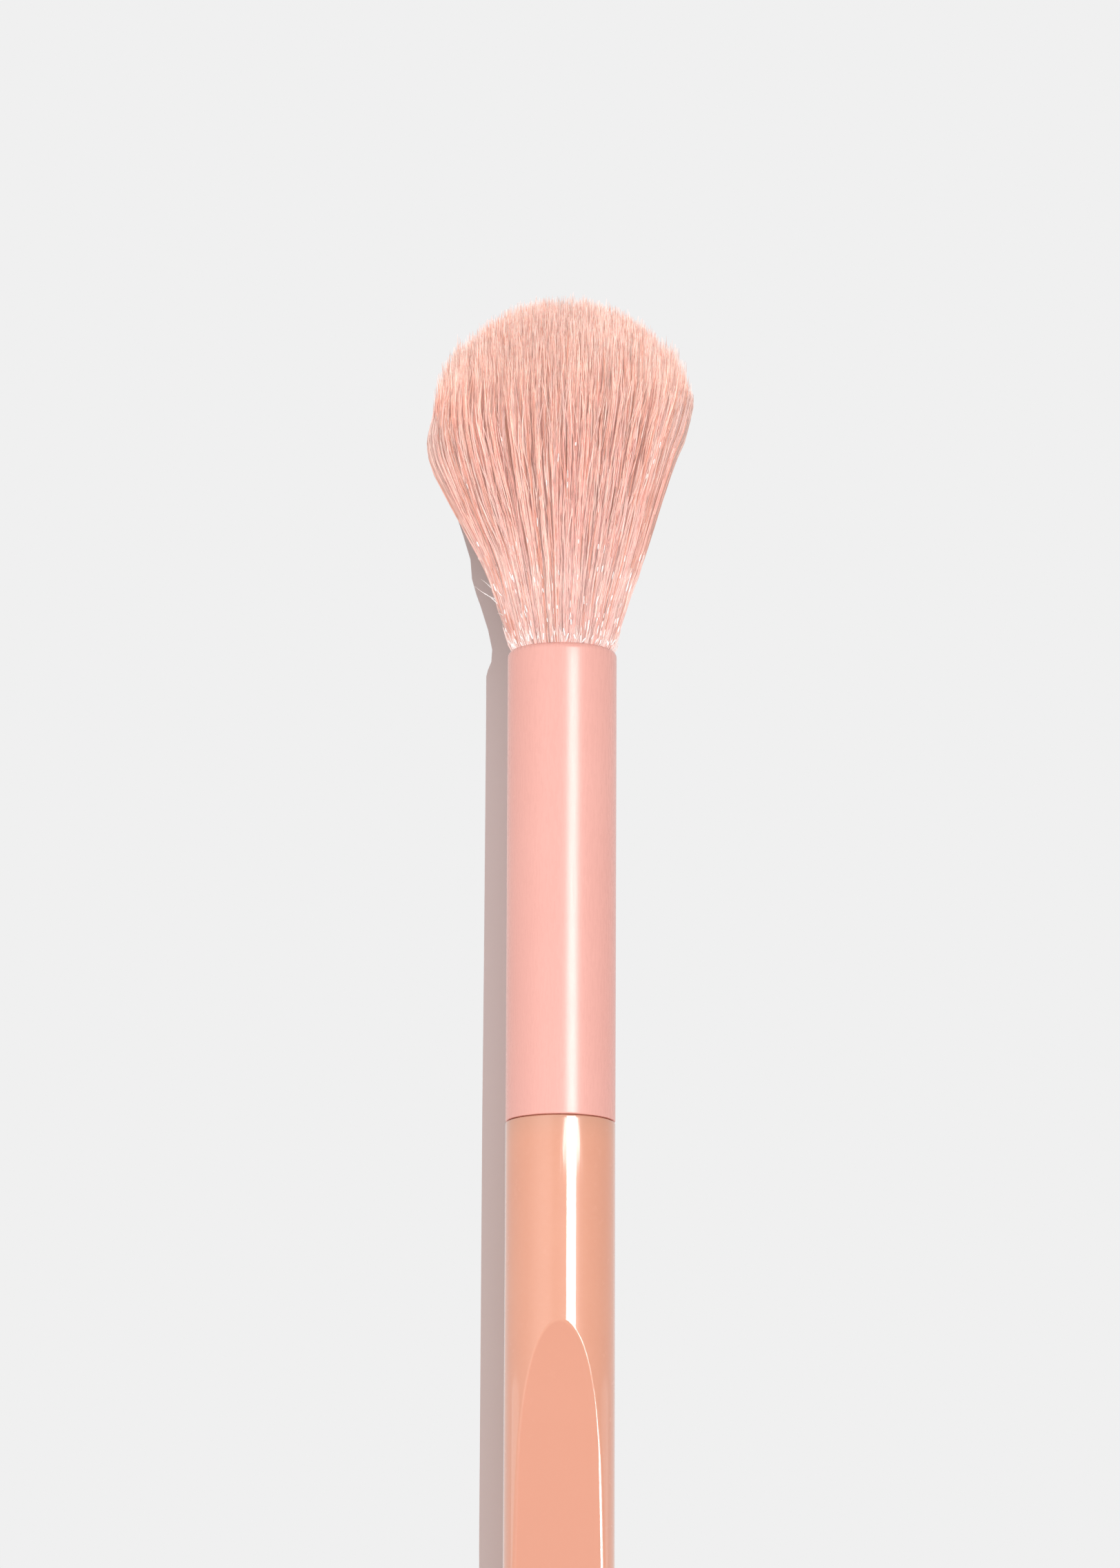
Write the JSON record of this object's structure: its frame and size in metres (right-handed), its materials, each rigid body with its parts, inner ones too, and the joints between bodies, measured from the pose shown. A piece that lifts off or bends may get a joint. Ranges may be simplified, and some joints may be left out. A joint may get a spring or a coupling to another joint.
{
  "type": "soft round-headed hand brush",
  "caption": "Hand brush with a soft domed tuft in a flush satin ferrule, on a glossy handle with a scooped, flat thumb facet.",
  "frame": {"origin": "centre of the flat tail face of the handle", "axes": "+Z along the brush from the tail to the tuft, -Y the side with the thumb facet, +X to the right when the facet is seen"},
  "size_m": [0.0316, 0.0316, 0.1819],
  "materials": {
    "handle": "gloss",
    "ferrule": "satin",
    "filament": "soft, fine synthetic filament",
    "filament_core": "soft, fine synthetic filament",
    "short_fibre": "pale short fibre",
    "adhesive": "matte",
    "resin": "gloss",
    "thread": "waxed thread"
  },
  "bodies": {
    "root": {"handle": "handle", "tenon_glue": "adhesive", "ferrule": "ferrule", "root_plug": "resin", "root_binding": "thread", "bristle_root": "filament", "mouth_fibres": "short_fibre"},
    "tuft_lower": {"outer_bristles_lower": "filament", "core_bristles_lower": "filament_core"},
    "tuft_upper": {"outer_bristles_upper": "filament", "core_bristles_upper": "filament_core"}
  },
  "joints": [
    {"name": "tuft_bend_front", "type": "hinge", "parent": "root", "child": "tuft_lower", "pos_m": [0, 0, 0.137], "axis": [1, 0, 0], "range_deg": [-28, 28], "stiffness_Nm_per_rad": 0.03},
    {"name": "tuft_bend_side", "type": "hinge", "parent": "tuft_lower", "child": "tuft_upper", "pos_m": [0, 0, 0.141], "axis": [0, 1, 0], "range_deg": [-25, 25], "stiffness_Nm_per_rad": 0.03}
  ]
}
